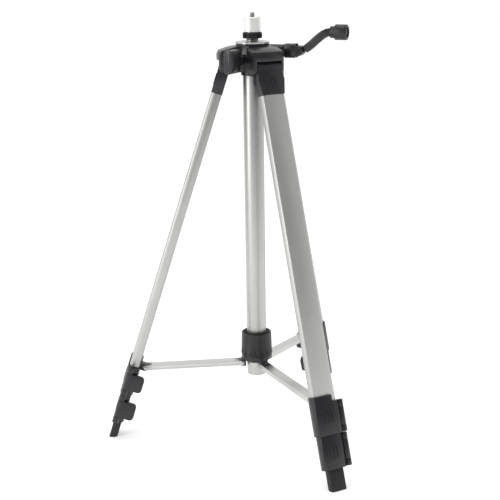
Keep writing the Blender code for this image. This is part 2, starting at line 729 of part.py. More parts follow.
def add_spreader_hub(slider):
    """Make the sliding hub with its ears, and the grip collar that turns on it."""
    bore = COLUMN_RADIUS + HUB_SLIDE
    ring_bottom = HUB_TOP - HUB_RING_HEIGHT
    hub = lathe([(bore, HUB_BOTTOM), (HUB_SLEEVE_RADIUS, HUB_BOTTOM),
                 (HUB_SLEEVE_RADIUS, ring_bottom), (HUB_RING_RADIUS, ring_bottom),
                 (HUB_RING_RADIUS, HUB_TOP), (bore, HUB_TOP)])
    root_x = (bore + HUB_SLEEVE_RADIUS) / 2
    root_top = ring_bottom + JOIN
    outline = arc(HUB_PIVOT, EAR_RADIUS, -90, 90, 8)
    outline += [(HUB_PIVOT.x, root_top), (root_x, root_top), (root_x, HUB_PIVOT.y - EAR_RADIUS)]
    for azimuth in LEG_AZIMUTHS:
        turned = Matrix.Rotation(math.radians(azimuth), 4, "Z")
        tab = prism(outline, -EAR_HALF_WIDTH, EAR_HALF_WIDTH, SIDEWAYS)
        tab.data.transform(turned)
        join(hub, tab)
        pin = turned @ shift(HUB_PIVOT.x, 0, HUB_PIVOT.y) @ SIDEWAYS
        span = STRUT_WIDTH / 2
        cut(hub, rod(STRUT_PIN_RADIUS + FIT, -span, span, pin, SMALL_SIDES))
    finish(hub, "spreader_hub", black_plastic, slider)
    bottom = HUB_TOP + FIT
    top = bottom + COLLAR_HEIGHT
    collar = lathe([(bore, bottom), (COLLAR_BOTTOM_RADIUS, bottom), (COLLAR_TOP_RADIUS, top),
                    (COLLAR_MOUTH_RADIUS, top), (bore + JOIN, top - COLLAR_MOUTH_DEPTH),
                    (bore, top - COLLAR_MOUTH_DEPTH - JOIN)], sides=36)
    finish(collar, "spreader_collar", black_plastic, guide("collar_axis", slider, HERE))


def strut():
    """Make one strut: a channel, open below, with its web cut back at both ends."""
    length = STRUT.length
    half = STRUT_HEIGHT / 2
    outline = arc((length, 0), half, -90, 90) + arc((0, 0), half, 90, 270)
    channel = prism(outline, -STRUT_WIDTH / 2, STRUT_WIDTH / 2, SIDEWAYS)
    inside = (-STRUT_WIDTH / 2 + STRUT_WALL, STRUT_WIDTH / 2 - STRUT_WALL)
    cut(channel, block((-FAR, FAR), inside, (-half - JOIN, half - STRUT_WALL)))
    cut(channel, block((-FAR, STRUT_WEB_SETBACK), inside, (-FAR, FAR)))
    cut(channel, block((length - STRUT_WEB_SETBACK, FAR), inside, (-FAR, FAR)))
    for end in (0, length):
        pin = shift(end, 0, 0) @ SIDEWAYS
        cut(channel, rod(STRUT_PIN_RADIUS + FIT, -STRUT_WIDTH, STRUT_WIDTH, pin, SMALL_SIDES))
    return channel


# ---------------------------------------------------------------- legs

def yoke():
    """Make a leg's top: an eye open up and inwards, flared shoulders and a plug for the tube."""
    outline = []
    stations = ((0, YOKE_HALF_WIDTH), (YOKE_FLARE_ALONG * 0.55, YOKE_HALF_WIDTH),
                (YOKE_FLARE_ALONG, YOKE_FLARE_HALF_WIDTH), (YOKE_LENGTH, YOKE_END_HALF_WIDTH))
    for side, order in ((-1, stations), (1, reversed(stations))):
        outline += [(side * half_width, -along) for along, half_width in order]
    body = prism(outline, -YOKE_THICKNESS / 2, YOKE_THICKNESS / 2, facing(0))
    plug = section(UPPER_SIZE, UPPER_CORNER, -UPPER_WALL - FIT)
    eye = rod(YOKE_EYE_RADIUS, -YOKE_HALF_WIDTH, YOKE_HALF_WIDTH, SIDEWAYS)
    join(body, eye, prism(plug, -YOKE_LENGTH - YOKE_PLUG, -YOKE_LENGTH + JOIN))
    radius = HINGE_PIN_RADIUS + FIT
    middle = 90.0 + YOKE_SLOT_ANGLE
    wedge = []
    for side in (-1, 1):
        edge = math.radians(middle + side * YOKE_SLOT_FLARE)
        start = Vector((math.cos(edge + side * math.pi / 2), math.sin(edge + side * math.pi / 2)))
        along = Vector((math.cos(edge), math.sin(edge)))
        start = start * (radius + YOKE_SLOT_RELIEF)
        pair = [tuple(start), tuple(start + along * 2 * YOKE_EYE_RADIUS)]
        wedge += pair if side < 0 else reversed(pair)
    width = YOKE_HALF_WIDTH + JOIN
    cut(body, rod(radius, -width, width, SIDEWAYS, SMALL_SIDES))
    return cut(body, prism(wedge, -width, width, SIDEWAYS))


def lock_collar(size, start, length, lip, outer, inner, joint):
    """Make a lock: a sleeve over one section's end with knuckles for its lever.

    outer and inner are the (size, corner) of the sections above and below the joint.
    """
    end = start + length
    collar = prism(section(size, LOCK_CORNER), -end, -start + lip)
    axis = (LEVER_AXIS_X, size[1] / 2 + LEVER_AXIS_OUT)
    place = shift(*axis, 0)
    join(collar, rod(LEVER_BARREL_RADIUS, -end + JOIN / 4, -start - JOIN / 4, place, SMALL_SIDES))
    if lip > 0:
        dip = (size[1] / 2 - LIP_DIP, FAR)
        cut(collar, block((-FAR, FAR), dip, (-start, FAR)))
    cut(collar, prism(section(*inner, FIT), -end - JOIN, -start + lip + JOIN))
    cut(collar, prism(section(*outer, FIT), -joint - FIT, -start + lip + JOIN))
    window = (-end + KNUCKLE_LENGTH, -start - KNUCKLE_LENGTH)
    hole = (window[0] - LEVER_TRUNNION_LENGTH, window[1] + LEVER_TRUNNION_LENGTH)
    cut(collar, rod(LEVER_BARREL_RADIUS + FIT, *window, place))
    cut(collar, rod(LEVER_TRUNNION_RADIUS + FIT, *hole, place, SMALL_SIDES))
    return collar


def lever(start, length):
    """Make a lock's lever about its own axis: a barrel with trunnions and a rounded wing."""
    low = -(start + length) + KNUCKLE_LENGTH + LEVER_GAP
    high = -start - KNUCKLE_LENGTH - LEVER_GAP
    pin = LEVER_TRUNNION_LENGTH - LEVER_GAP
    barrel = rod(LEVER_BARREL_RADIUS, low, high, sides=SMALL_SIDES)
    trunnion = rod(LEVER_TRUNNION_RADIUS, low - pin, high + pin, sides=SMALL_SIDES)
    corner = LEVER_WING_THICKNESS
    far = -LEVER_WING_REACH + corner
    outline = [(0, low), (0, high)]
    outline += arc((far, high - corner), corner, 90, 180, 4)
    outline += arc((far, low + corner), corner, 180, 270, 4)
    half = LEVER_WING_THICKNESS / 2
    return join(barrel, prism(outline, -half, half, SIDEWAYS), trunnion)


def foot():
    """Make a foot: a plug in the lowest tube and a pad cut level with the floor."""
    top = -LOWER_END - FIT
    pad = prism(section(FOOT_SIZE, FOOT_CORNER), -FLOOR_ALONG - FOOT_SIZE[0], top)
    plug = section(LOWER_SIZE, LOWER_CORNER, -LOWER_WALL - FIT)
    join(pad, prism(plug, top - JOIN, top + FOOT_PLUG))
    floor = shift(0, 0, -FLOOR_ALONG) @ Matrix.Rotation(TILT, 4, "Y")
    return cut(pad, block((-FAR, FAR), (-FAR, FAR), (-FAR, 0), floor))


def add_legs(legs, middles, lowers, from_pivot):
    """Make one leg's pieces and repeat them on all three legs."""
    upper = (UPPER_SIZE, UPPER_CORNER)
    middle = (MIDDLE_SIZE, MIDDLE_CORNER)
    lower = (LOWER_SIZE, LOWER_CORNER)
    repeat(yoke(), "leg_yoke", black_plastic, legs, from_pivot)
    tube = section_tube(*upper, UPPER_WALL, -UPPER_END, -YOKE_LENGTH - FIT)
    repeat(tube, "upper_tube", anodised, legs, from_pivot)
    collar = lock_collar(UPPER_LOCK_SIZE, UPPER_LOCK_START, UPPER_LOCK_LENGTH, UPPER_LOCK_LIP,
                         upper, middle, UPPER_END)
    pivot = (-FOOT_PIVOT_INSET, -FOOT_PIVOT_ALONG)
    wall_x = -(UPPER_LOCK_SIZE[0] + UPPER_SIZE[0]) / 4 - FIT
    join(collar, ear(pivot, wall_x))
    pin = shift(pivot[0], 0, pivot[1]) @ SIDEWAYS
    cut(collar, rod(STRUT_PIN_RADIUS + FIT, -STRUT_WIDTH, STRUT_WIDTH, pin, SMALL_SIDES))
    repeat(collar, "upper_lock", black_plastic, legs, from_pivot)
    tube = section_tube(*middle, MIDDLE_WALL, -MIDDLE_END, -MIDDLE_START)
    repeat(tube, "middle_tube", anodised, middles, from_pivot)
    collar = lock_collar(LOWER_LOCK_SIZE, LOWER_LOCK_START, LOWER_LOCK_LENGTH, LOWER_LOCK_LIP,
                         middle, lower, MIDDLE_END)
    repeat(collar, "lower_lock", black_plastic, middles, from_pivot)
    tube = section_tube(*lower, LOWER_WALL, -LOWER_END, -LOWER_START)
    repeat(tube, "lower_tube", anodised, lowers, from_pivot)
    repeat(foot(), "foot", black_rubber, lowers, from_pivot)


def add_lever_set(name, sections, size, start, length, from_pivot):
    """Make the levers of one row of locks, each with its origin on its own axis."""
    axis = shift(LEVER_AXIS_X, size[1] / 2 + LEVER_AXIS_OUT, 0)
    carriers = []
    for number, carrier in enumerate(sections, 1):
        carriers.append(guide(f"{name}_axis_{number}", carrier, from_pivot @ axis))
    repeat(lever(start, length), name, black_plastic, carriers)


# ---------------------------------------------------------------- assembly

def add_linkage(root):
    """Place the spreader, its struts and the legs."""
    slider = guide("spreader_slider", root, HERE)
    add_spreader_hub(slider)
    struts, legs, middles, lowers, hinges, pivots = [], [], [], [], [], []
    fall = Matrix.Rotation(math.atan2(-STRUT.y, STRUT.x), 4, "Y")
    lean = Matrix.Rotation(-TILT, 4, "Y")
    for number, azimuth in enumerate(LEG_AZIMUTHS, 1):
        turned = Matrix.Rotation(math.radians(azimuth), 4, "Z")
        hinges.append(guide(f"hinge_{number}", root, turned @ shift(HINGE.x, 0, HINGE.y)))
        pivots.append(guide(f"hub_pivot_{number}", slider, turned @ shift(HUB_PIVOT.x, 0, HUB_PIVOT.y)))
        struts.append(guide(f"strut_axis_{number}", pivots[-1], fall))
        reach = fall.inverted() @ shift(STRUT.x, 0, STRUT.y) @ lean
        legs.append(guide(f"leg_axis_{number}", struts[-1], reach))
        middles.append(guide(f"middle_slider_{number}", legs[-1], HERE))
        lowers.append(guide(f"lower_slider_{number}", middles[-1], HERE))
    hinge_pin = rivet(HINGE_PIN_RADIUS, RIVET_HEAD_RADIUS, 2 * LOBE_HALF_WIDTH)
    repeat(hinge_pin, "leg_pin", bright_steel, hinges)
    repeat(strut(), "strut", anodised, struts)
    repeat(rivet(STRUT_PIN_RADIUS, STRUT_HEAD_RADIUS, STRUT_WIDTH), "hub_pin", bright_steel, pivots)
    repeat(rivet(STRUT_PIN_RADIUS, STRUT_HEAD_RADIUS, STRUT_WIDTH), "strut_pin", bright_steel, legs)
    from_pivot = shift(FOOT_PIVOT_INSET, 0, FOOT_PIVOT_ALONG)
    add_legs(legs, middles, lowers, from_pivot)
    add_lever_set("upper_lever", legs, UPPER_LOCK_SIZE, UPPER_LOCK_START, UPPER_LOCK_LENGTH, from_pivot)
    add_lever_set("lower_lever", middles, LOWER_LOCK_SIZE, LOWER_LOCK_START, LOWER_LOCK_LENGTH,
                  from_pivot)


def add_top(root):
    """Place the elevating column, the crank and the lock knob."""
    slider = guide("elevator_slider", root, HERE)
    add_elevator(slider)
    add_laser_mount(slider)
    spindle = guide("crank_axis", root, shaft_frame())
    add_shaft(spindle)
    fold = guide("crank_fold_axis", spindle, shift(0, 0, KNUCKLE_OFFSET))
    add_crank_arm(fold)
    add_crank_knob(guide("crank_knob_axis", fold, shift(0, ARM_RISE, 0)))
    knob_axis = shift(0, 0, LOCK_KNOB_HEIGHT) @ facing(LOCK_KNOB_AZIMUTH)
    add_lock_knob(guide("lock_knob_axis", root, knob_axis))


def centre_on_footprint(root):
    """Move the whole tripod so that the middle of its box lies on the z axis."""
    bpy.context.view_layer.update()
    corners = []
    for shape in bpy.data.objects:
        if shape.type == "MESH":
            corners += [shape.matrix_world @ vertex.co for vertex in shape.data.vertices]
    for axis in (0, 1):
        values = [corner[axis] for corner in corners]
        root.location[axis] = -(min(values) + max(values)) / 2
    bpy.context.view_layer.update()


def main():
    """Build the tripod in an empty scene."""
    for shape in list(bpy.data.objects):
        bpy.data.objects.remove(shape)
    root = guide("tripod", None, HERE)
    add_head(root)
    add_column(root)
    add_top(root)
    add_linkage(root)
    centre_on_footprint(root)


main()
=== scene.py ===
"""Laser-level tripod: finishes, fine shapes, studio and camera.

Every length is in metres. The column, the joints and the legs' directions are read from the
frame; sizes that only this script needs are named below.
"""

import json
import math

import bpy
from mathutils import Matrix, Vector

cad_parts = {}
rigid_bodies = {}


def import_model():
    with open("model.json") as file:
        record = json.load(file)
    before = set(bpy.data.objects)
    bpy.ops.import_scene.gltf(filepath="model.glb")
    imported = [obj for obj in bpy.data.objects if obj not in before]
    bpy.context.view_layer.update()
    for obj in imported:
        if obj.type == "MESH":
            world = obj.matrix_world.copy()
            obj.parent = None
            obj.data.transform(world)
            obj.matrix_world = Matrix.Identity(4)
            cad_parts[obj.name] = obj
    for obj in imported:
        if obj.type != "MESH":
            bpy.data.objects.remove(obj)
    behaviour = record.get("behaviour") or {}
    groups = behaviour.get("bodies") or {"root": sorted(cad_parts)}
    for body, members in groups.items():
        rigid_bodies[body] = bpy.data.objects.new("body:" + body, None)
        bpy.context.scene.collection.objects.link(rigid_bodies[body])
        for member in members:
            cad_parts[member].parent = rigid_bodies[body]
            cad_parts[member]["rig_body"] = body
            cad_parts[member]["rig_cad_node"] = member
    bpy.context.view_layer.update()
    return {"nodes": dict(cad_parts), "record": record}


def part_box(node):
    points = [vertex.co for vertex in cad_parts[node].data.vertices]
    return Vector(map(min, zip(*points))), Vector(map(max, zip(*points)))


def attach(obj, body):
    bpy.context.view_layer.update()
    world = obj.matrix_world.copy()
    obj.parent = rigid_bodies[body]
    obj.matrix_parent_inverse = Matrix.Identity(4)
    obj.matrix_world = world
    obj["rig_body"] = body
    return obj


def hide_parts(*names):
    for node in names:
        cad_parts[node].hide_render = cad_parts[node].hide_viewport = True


MM = 0.001

# Places along a leg, measured from its top hinge; x is outward, y along the hinge
PIVOT_ALONG = 407.7 * MM
PIVOT_INSET = 13.7 * MM
YOKE_FACE = 7.0 * MM
UPPER_LOCK_FACE = 8.5 * MM
LOWER_LOCK_FACE = 7.3 * MM
YOKE_RIB_ALONG = 19.0 * MM
UPPER_LOCK_RIB_ALONG = 424.0 * MM
LOWER_LOCK_RIB_ALONG = 467.0 * MM
YOKE_RIB_LENGTH, UPPER_LOCK_RIB_LENGTH, LOWER_LOCK_RIB_LENGTH = 13 * MM, 16 * MM, 15 * MM

# Shares of the thread's pitch where a ridge reaches its crest, leaves it and ends
RIDGE_CREST, RIDGE_LEAVE, RIDGE_FOOT = 0.40, 0.55, 0.95

# Threads and grips
POST_THREAD_PITCH = 2.31 * MM  # 11 turns to the inch
STUD_THREAD_PITCH = 1.27 * MM  # 20 turns to the inch
THREAD_DEPTH_SHARE = 0.45
COLLAR_FLUTES = 16
LOCK_RING_GROOVES = 36
PADDLE_RIDGES = 3
PADDLE_END = 58.3 * MM         # along the lock knob's axis
PADDLE_RIDGE_STEP = 2.6 * MM
PADDLE_RIDGE_SIZE = (21 * MM, 1.2 * MM, 0.4 * MM)  # length, width and how far it stands out
CLEARANCE = 0.3 * MM           # between a turned piece and what it is threaded on

# Fineness of the turned pieces, in faces around
PIN_SIDES, THREAD_SIDES, TURNED_SIDES, COLLAR_SIDES = 32, 64, 96, 128

# Adapter, lock ring and platform
ADAPTER_EDGE, ADAPTER_GROOVE = 0.6 * MM, 0.25 * MM
ADAPTER_GROOVE_LOW, ADAPTER_GROOVE_HIGH = 2.0 * MM, 2.4 * MM
ADAPTER_SEAT, ADAPTER_ROOF = 1.2 * MM, 2.0 * MM  # below its top: the stud's seat and the bore's end
RING_EDGE, RING_RIM = 0.5 * MM, 0.9 * MM
RING_BAND, RING_GROOVE_DEPTH = 0.25, 0.45 * MM
PLATFORM_EDGE, PLATFORM_GROOVE_DEPTH = 0.5 * MM, 0.3 * MM
PLATFORM_GROOVE = (0.62, 0.6, 0.45, 0.43)        # shares of the radius, from the rim inwards

# Grip collar; the shares are of its foot's radius
COLLAR_MOUTH_SHARE, COLLAR_HEAD_SHARE = 0.86, 0.945
COLLAR_BAND = ((0.995, 3.0 * MM), (0.985, 3.6 * MM))
COLLAR_EDGE, COLLAR_RIM, COLLAR_FUNNEL, COLLAR_PLAY = 0.7 * MM, 2.6 * MM, 8.0 * MM, 0.4 * MM
FLUTE_RADIUS, FLUTE_TAPER, FLUTE_LENGTH_SHARE = 2.2 * MM, 0.45, 0.80
FLUTE_OUT, FLUTE_DROP = 0.42, 0.6 * MM

# Rivets: shank and head radius, and length over both heads
HINGE_RIVET = (2.0 * MM, 3.6 * MM, 44.4 * MM)
STRUT_RIVET = (1.5 * MM, 2.6 * MM, 15.4 * MM)
RIVET_DOME = 0.9 * MM
RIVET_DOME_STEPS = 5

# Ribs: the sideways place in mm and the lean in degrees of each rib of a fan
FAN = ((-5.2, -9.0), (0.0, 0.0), (4.6, 5.0))
FAN_RIB_WIDTH, FAN_RIB_PROUD = 1.1 * MM, 0.6 * MM
RIB_FOOT_SHARE = 0.35          # of the rib's width, at its lower end
RIB_CREST_SHARE = 0.55         # of the rib's width, on its outer face

# Camera, fitted to the column and the three legs
CAMERA_FROM_COLUMN = Vector((16.5, -1442.4, 642.9)) * MM
CAMERA_TURN = math.radians(0.927)
CAMERA_DOWN = math.radians(15.156)
CAMERA_ROLL = math.radians(-0.868)
CAMERA_LENS = 84.2

# The room's brightness, from its dim right front to its bright left back
BRIGHT_SIDE = (-0.42, 0.91, 0.0)
ROOM_WALL = {"From Min": -0.75, "From Max": 0.6, "To Min": 0.36, "To Max": 1.02}

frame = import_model()
record = frame["record"]
joints = {joint["name"]: joint for joint in record["behaviour"]["joints"]}
body_of_node = {}
for body, names in record["behaviour"]["bodies"].items():
    for name in names:
        body_of_node[name] = body
slot_of_node = {part["node"]: part["material_slot"] for part in record["subparts"]}


# ---------------------------------------------------------------- node groups

def new_group(name, inputs, outputs):
    """Start a shader node group with named inputs and outputs."""
    group = bpy.data.node_groups.new(name, "ShaderNodeTree")
    for label, kind, value in inputs:
        socket = group.interface.new_socket(name=label, in_out="INPUT", socket_type=kind)
        socket.default_value = value
    for label, kind in outputs:
        group.interface.new_socket(name=label, in_out="OUTPUT", socket_type=kind)
    entry = group.nodes.new("NodeGroupInput")
    leave = group.nodes.new("NodeGroupOutput")
    return group, entry, leave


def add_math(group, operation, first, second):
    """Add a maths node; each operand is a socket or a number."""
    node = group.nodes.new("ShaderNodeMath")
    node.operation = operation
    for socket, value in zip(node.inputs, (first, second)):
        if isinstance(value, (int, float)):
            socket.default_value = value
        else:
            group.links.new(value, socket)
    return node.outputs[0]


def add_noise(group, vector, scale, detail, roughness=0.5):
    """Add a noise texture on a vector and give its factor."""
    node = group.nodes.new("ShaderNodeTexNoise")
    node.inputs["Detail"].default_value = detail
    node.inputs["Roughness"].default_value = roughness
    if isinstance(scale, (int, float)):
        node.inputs["Scale"].default_value = scale
    else:
        group.links.new(scale, node.inputs["Scale"])
    group.links.new(vector, node.inputs["Vector"])
    return node.outputs["Fac"]


def colour_socket(sockets, name):
    """Find the colour socket of a name that a Mix node also gives to other kinds of socket."""
    return next(entry for entry in sockets if entry.name == name and entry.type == "RGBA")


def moulded_skin_group():
    """Fine spark-eroded grain with soft dull patches and rubbed edges."""
    group, entry, leave = new_group(
        "moulded_skin",
        [("Base", "NodeSocketColor", (0.04, 0.04, 0.043, 1)),
         ("Worn", "NodeSocketColor", (0.12, 0.12, 0.13, 1)),
         ("Grain Scale", "NodeSocketFloat", 1600.0), ("Roughness", "NodeSocketFloat", 0.42),
         ("Wear", "NodeSocketFloat", 0.5)],
        [("Color", "NodeSocketColor"), ("Roughness", "NodeSocketFloat"),
         ("Height", "NodeSocketFloat")])
    place = group.nodes.new("ShaderNodeTexCoord").outputs["Object"]
    grain = add_noise(group, place, entry.outputs["Grain Scale"], 3.0)
    patches = add_noise(group, place, 38.0, 4.0, 0.6)
    geometry = group.nodes.new("ShaderNodeNewGeometry")
    edge = group.nodes.new("ShaderNodeMapRange")
    edge.inputs["From Min"].default_value = 0.52
    edge.inputs["From Max"].default_value = 0.62
    group.links.new(geometry.outputs["Pointiness"], edge.inputs["Value"])
    rubbed = add_math(group, "MULTIPLY", edge.outputs["Result"], patches)
    rubbed = add_math(group, "MULTIPLY", rubbed, entry.outputs["Wear"])
    mix = group.nodes.new("ShaderNodeMix")
    mix.data_type = "RGBA"
    group.links.new(rubbed, mix.inputs["Factor"])
    group.links.new(entry.outputs["Base"], colour_socket(mix.inputs, "A"))
    group.links.new(entry.outputs["Worn"], colour_socket(mix.inputs, "B"))
    shade = group.nodes.new("ShaderNodeHueSaturation")
    value = add_math(group, "MULTIPLY_ADD", patches, 0.5)
    value.node.inputs[2].default_value = 0.75
    group.links.new(value, shade.inputs["Value"])
    group.links.new(colour_socket(mix.outputs, "Result"), shade.inputs["Color"])
    spread = add_math(group, "SUBTRACT", patches, 0.5)
    spread = add_math(group, "MULTIPLY", spread, 0.22)
    group.links.new(shade.outputs["Color"], leave.inputs["Color"])
    group.links.new(add_math(group, "ADD", entry.outputs["Roughness"], spread),
                    leave.inputs["Roughness"])
    group.links.new(grain, leave.inputs["Height"])
    return group


def drawn_metal_group():
    """Fine lines along the direction in which metal was drawn or turned, with faint clouding."""
    group, entry, leave = new_group(
        "drawn_metal",
        [("Vector", "NodeSocketVector", (0, 0, 0)),
         ("Base", "NodeSocketColor", (0.7, 0.7, 0.69, 1)),
         ("Line Scale", "NodeSocketFloat", 900.0), ("Roughness", "NodeSocketFloat", 0.32),
         ("Clouding", "NodeSocketFloat", 0.1)],
        [("Color", "NodeSocketColor"), ("Roughness", "NodeSocketFloat"),
         ("Height", "NodeSocketFloat")])
    lines = add_noise(group, entry.outputs["Vector"], entry.outputs["Line Scale"], 4.0, 0.6)
    place = group.nodes.new("ShaderNodeTexCoord").outputs["Object"]
    clouds = add_noise(group, place, 24.0, 3.0)
    value = add_math(group, "SUBTRACT", clouds, 0.5)
    value = add_math(group, "MULTIPLY", value, entry.outputs["Clouding"])
    streak = add_math(group, "SUBTRACT", lines, 0.5)
    streak = add_math(group, "MULTIPLY", streak, 0.12)
    value = add_math(group, "ADD", add_math(group, "ADD", value, streak), 1.0)
    shade = group.nodes.new("ShaderNodeHueSaturation")
    group.links.new(value, shade.inputs["Value"])
    group.links.new(entry.outputs["Base"], shade.inputs["Color"])
    rough = add_math(group, "ADD", entry.outputs["Roughness"], streak)
    group.links.new(shade.outputs["Color"], leave.inputs["Color"])
    group.links.new(rough, leave.inputs["Roughness"])
    group.links.new(lines, leave.inputs["Height"])
    return group


SKIN = moulded_skin_group()
DRAWN = drawn_metal_group()


# ---------------------------------------------------------------- materials

def start_material(name, group, values, metallic, bump, distance):
    """Make a Principled material whose colour, roughness and bump come from a group."""
    made = bpy.data.materials.new(name)
    made.use_nodes = True
    nodes, links = made.node_tree.nodes, made.node_tree.links
    shader = nodes["Principled BSDF"]
    shader.inputs["Metallic"].default_value = metallic
    effect = nodes.new("ShaderNodeGroup")
    effect.node_tree = group
    for label, value in values.items():
        effect.inputs[label].default_value = value
    relief = nodes.new("ShaderNodeBump")
    relief.inputs["Strength"].default_value = bump
    relief.inputs["Distance"].default_value = distance
    links.new(effect.outputs["Color"], shader.inputs["Base Color"])
    links.new(effect.outputs["Roughness"], shader.inputs["Roughness"])
    links.new(effect.outputs["Height"], relief.inputs["Height"])
    links.new(relief.outputs["Normal"], shader.inputs["Normal"])
    return made, effect


def moulded(name, base, worn, roughness, grain=1600.0, wear=0.5, bump=0.18):
    """Make a moulded plastic or rubber finish."""
    values = {"Base": base, "Worn": worn, "Roughness": roughness, "Grain Scale": grain,
              "Wear": wear}
    made, _ = start_material(name, SKIN, values, 0.0, bump, 0.0002)
    return made


def drawn(name, base, roughness, turn, stretch, line_scale=900.0, clouding=0.1, bump=0.08):
    """Make a metal finish whose lines run along the turned z axis of its mapping."""
    values = {"Base": base, "Roughness": roughness, "Line Scale": line_scale,
              "Clouding": clouding}
    made, effect = start_material(name, DRAWN, values, 1.0, bump, 0.0001)
    nodes, links = made.node_tree.nodes, made.node_tree.links
    place = nodes.new("ShaderNodeTexCoord")
    turned_place = nodes.new("ShaderNodeMapping")
    turned_place.vector_type = "TEXTURE"
    turned_place.inputs["Rotation"].default_value = turn
    turned_place.inputs["Scale"].default_value = stretch
    links.new(place.outputs["Object"], turned_place.inputs["Vector"])
    links.new(turned_place.outputs["Vector"], effect.inputs["Vector"])
    return made


def leg_frame(number):
    """Give a leg's placement: origin at its top hinge, z up along the leg, y along the hinge."""
    tilt = joints[f"leg_{number}_tilt"]
    up = -Vector(joints[f"middle_{number}_slide"]["axis"]).normalized()
    across = Vector(tilt["axis"]).normalized()
    outward = across.cross(up)
    turned = Matrix((outward, across, up)).transposed().to_4x4()
    pivot = Matrix.Translation(Vector(tilt["pos_m"]))
    return pivot @ turned @ Matrix.Translation((PIVOT_INSET, 0, PIVOT_ALONG))


LEG_FRAMES = {number: leg_frame(number) for number in (1, 2, 3)}
ALONG = (1.0, 1.0, 60.0)
AROUND = (12.0, 12.0, 1.0)
ANODISED = (0.53, 0.53, 0.515, 1)

black_moulding = moulded("black_moulding", (0.013, 0.0135, 0.016, 1), (0.04, 0.041, 0.046, 1), 0.31)
# Black grip finish of the collar, the lock ring and the crank knob; on the knob's screw the same
# black is painted shade of the recess it sits in.
black_grip_and_recess_shade = moulded("black_grip_and_recess_shade", (0.011, 0.0115, 0.013, 1), (0.032, 0.033, 0.037, 1), 0.42)
foot_rubber = moulded("foot_rubber", (0.012, 0.012, 0.013, 1), (0.03, 0.03, 0.031, 1), 0.62, 900.0)
column_metal = drawn("anodised_column", ANODISED, 0.42, (0, 0, 0), ALONG)
turned_steel = drawn("turned_steel", (0.46, 0.46, 0.45, 1), 0.28, (0, 0, 0), AROUND, 1400.0)
plated_steel = drawn("plated_steel", (0.52, 0.52, 0.50, 1), 0.30, (0, 0, 0), (1, 1, 1), 1200.0)
pale_alloy = drawn("pale_alloy", (0.86, 0.86, 0.84, 1), 0.36, (0, 0, 0), AROUND, 1200.0, 0.05)
leg_metal = {}
strut_metal = {}
for number, placement in LEG_FRAMES.items():
    turn = placement.to_euler()
    leg_metal[number] = drawn(f"anodised_leg_{number}", ANODISED, 0.46, turn, ALONG)
    swing = joints[f"strut_{number}_swing"]
    reach = Vector(joints[f"leg_{number}_tilt"]["pos_m"]) - Vector(swing["pos_m"])
    turn = reach.to_track_quat("Z", "Y").to_euler()
    strut_metal[number] = drawn(f"strut_metal_{number}", (0.60, 0.60, 0.58, 1), 0.38, turn, ALONG,
                                700.0, 0.16)


def material_of(node):
    """Choose the finish of a CAD node."""
    base, _, number = node.rpartition("_")
    if base in ("upper_tube", "middle_tube", "lower_tube"):
        return leg_metal[int(number)]
    if base == "strut":
        return strut_metal[int(number)]
    if node in ("column_tube", "elevating_tube"):
        return column_metal
    # The crank knob's screw takes the black grip finish as painted shade: its black stands for the
    # shade in the recess it sits in.
    if node in ("spreader_collar", "lock_ring", "crank_knob", "crank_knob_screw",
                "crank_pin"):
        return black_grip_and_recess_shade
    return {"black_moulding": black_moulding, "foot_rubber": foot_rubber,
            "bright_steel": turned_steel, "pale_alloy": pale_alloy,
            "plated_steel": plated_steel}[slot_of_node[node]]


# ---------------------------------------------------------------- modelling steps

def deselect():
    """Leave object mode with nothing selected."""
    if bpy.context.object and bpy.context.object.mode != "OBJECT":
        bpy.ops.object.mode_set(mode="OBJECT")
    bpy.ops.object.select_all(action="DESELECT")


def select_only(piece):
    """Select one piece and make it active."""
    deselect()
    piece.hide_set(False)
    piece.select_set(True)
    bpy.context.view_layer.objects.active = piece


def bevel(piece, width, segments=2, angle=32.0):
    """Round the sharp edges of a piece with an applied Bevel modifier."""
    select_only(piece)
    step = piece.modifiers.new("edge_round", "BEVEL")
    step.width = width
    step.segments = segments
    step.limit_method = "ANGLE"
    step.angle_limit = math.radians(angle)
    step.use_clamp_overlap = True
    bpy.ops.object.modifier_apply(modifier=step.name)


def smooth(piece, angle=38.0):
    """Shade a piece smooth up to an angle."""
    select_only(piece)
    bpy.ops.object.shade_smooth_by_angle(angle=math.radians(angle))


def settle(piece, placement=None):
    """Put a piece where a placement says and apply it, so that its object sits at the origin."""
    select_only(piece)
    if placement is not None:
        piece.matrix_world = placement
    bpy.ops.object.transform_apply(location=True, rotation=True, scale=True)


def finish_piece(piece, name, material, body, slot, *nodes):
    """Name and colour a piece, let it ride on a body and stand for CAD nodes."""
    piece.name = name
    piece.data.name = name
    piece.data.materials.clear()
    piece.data.materials.append(material)
    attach(piece, body)
    if nodes:
        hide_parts(*nodes)
    return piece


def refined(node, width, segments=2):
    """Copy a CAD node, merge it and round its edges; the copy then stands for the node."""
    source = frame["nodes"][node]
    select_only(source)
    bpy.ops.object.duplicate()
    piece = bpy.context.object
    piece.parent = None
    piece.matrix_world = Matrix.Identity(4)
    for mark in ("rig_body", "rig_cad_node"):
        if mark in piece:
            del piece[mark]
    bpy.ops.object.mode_set(mode="EDIT")
    bpy.ops.mesh.select_all(action="SELECT")
    bpy.ops.mesh.remove_doubles(threshold=0.00001)
    bpy.ops.mesh.dissolve_limited(angle_limit=math.radians(0.6))
    bpy.ops.object.mode_set(mode="OBJECT")
    if width > 0:
        bevel(piece, width, segments)
    smooth(piece)
    return finish_piece(piece, f"{node}_fine", material_of(node), body_of_node[node],
                        slot_of_node[node], node)


